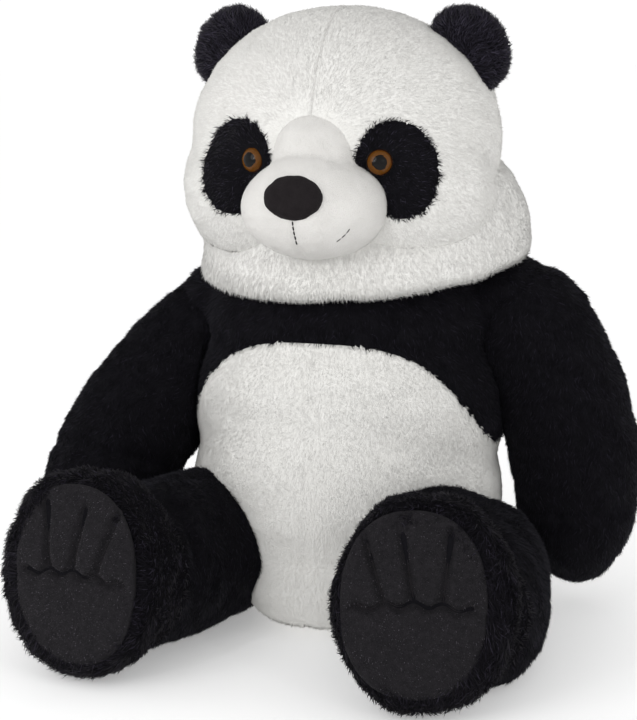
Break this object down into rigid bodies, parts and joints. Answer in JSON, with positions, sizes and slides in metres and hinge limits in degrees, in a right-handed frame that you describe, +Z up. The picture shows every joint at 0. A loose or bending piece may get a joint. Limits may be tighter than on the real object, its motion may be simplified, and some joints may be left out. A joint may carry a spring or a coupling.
{
  "type": "plush panda",
  "caption": "Large seated plush panda with a turning, nodding head, folding ears, arms that raise sideways and legs that spread.",
  "frame": {"origin": "bottom centre of the whole toy's box, on the floor it sits on", "axes": "+Z up, the panda faces -Y, and +X is the panda's left"},
  "size_m": [0.7134, 0.6594, 0.761],
  "materials": {
    "white_body_plush": "medium pile, matt",
    "white_head_plush": "medium pile, matt",
    "short_white_pile": "short shorn pile, matt",
    "black_plush": "medium pile, soft sheen",
    "ear_plush": "long curly pile",
    "patch_plush": "long pile, soft sheen",
    "sole_velour": "short velour, mottled",
    "nose_suede": "napped, matt",
    "black_thread": "twisted thread",
    "eye_plastic": "clear over brown, polished",
    "washer_plastic": "moulded",
    "stuffing": "loose polyester fibre",
    "bead_cloth": "plain weave over beads",
    "label_satin": "woven satin, blank"
  },
  "bodies": {
    "torso": {"back_panel": "white_body_plush", "bead_bag": "bead_cloth", "belly_panel": "white_body_plush", "care_label": "label_satin", "seat_panel": "white_body_plush", "torso_filling": "stuffing", "yoke_panel": "black_plush"},
    "neck": {"neck_cover": "white_head_plush", "neck_filling": "stuffing"},
    "head": {"eye_left": "eye_plastic", "eye_patch_left": "patch_plush", "eye_patch_right": "patch_plush", "eye_right": "eye_plastic", "eye_washer_left": "washer_plastic", "eye_washer_right": "washer_plastic", "face_panel_left": "white_head_plush", "face_panel_right": "white_head_plush", "head_back_panel": "white_head_plush", "head_filling": "stuffing", "mouth_stitching": "black_thread", "muzzle_cover": "short_white_pile", "muzzle_filling": "stuffing", "nose": "nose_suede"},
    "ear_left": {"ear_left_cover": "ear_plush", "ear_left_filling": "stuffing"},
    "arm_left": {"arm_left_cover": "black_plush", "arm_left_filling": "stuffing"},
    "leg_left": {"foot_left_cover": "black_plush", "leg_left_cover": "black_plush", "leg_left_filling": "stuffing", "sole_left_pad": "sole_velour", "toe_left_stitching": "black_thread"},
    "ear_right": {"ear_right_cover": "ear_plush", "ear_right_filling": "stuffing"},
    "arm_right": {"arm_right_cover": "black_plush", "arm_right_filling": "stuffing"},
    "leg_right": {"foot_right_cover": "black_plush", "leg_right_cover": "black_plush", "leg_right_filling": "stuffing", "sole_right_pad": "sole_velour", "toe_right_stitching": "black_thread"}
  },
  "joints": [
    {"name": "neck_turn", "type": "hinge", "parent": "torso", "child": "neck", "pos_m": [-0.00097, 0.12448, 0.447], "axis": [0, -0.165, 0.9863], "range_deg": [-25, 25], "stiffness_Nm_per_rad": 6},
    {"name": "neck_nod", "type": "hinge", "parent": "neck", "child": "head", "pos_m": [-0.00097, 0.11722, 0.4904], "axis": [1, 0, 0], "range_deg": [-8, 12], "stiffness_Nm_per_rad": 12, "deforming": ["neck_cover"]},
    {"name": "ear_left_fold", "type": "hinge", "parent": "head", "child": "ear_left", "pos_m": [0.14803, 0.09648, 0.699], "axis": [0.6018, 0, -0.7986], "range_deg": [-12, 12], "stiffness_Nm_per_rad": 0.4},
    {"name": "arm_left_raise", "type": "hinge", "parent": "torso", "child": "arm_left", "pos_m": [0.22503, 0.13448, 0.366], "axis": [0, -1, 0], "range_deg": [0, 60]},
    {"name": "leg_left_spread", "type": "hinge", "parent": "torso", "child": "leg_left", "pos_m": [0.13903, 0.00248, 0.093], "axis": [0, 0, 1], "range_deg": [-8, 12]},
    {"name": "ear_right_fold", "type": "hinge", "parent": "head", "child": "ear_right", "pos_m": [-0.14997, 0.09648, 0.699], "axis": [0.6018, 0, 0.7986], "range_deg": [-12, 12], "stiffness_Nm_per_rad": 0.4},
    {"name": "arm_right_raise", "type": "hinge", "parent": "torso", "child": "arm_right", "pos_m": [-0.19497, 0.12848, 0.336], "axis": [0, 1, 0], "range_deg": [0, 45]},
    {"name": "leg_right_spread", "type": "hinge", "parent": "torso", "child": "leg_right", "pos_m": [-0.14097, 0.00248, 0.093], "axis": [0, 0, -1], "range_deg": [-8, 0]}
  ]
}
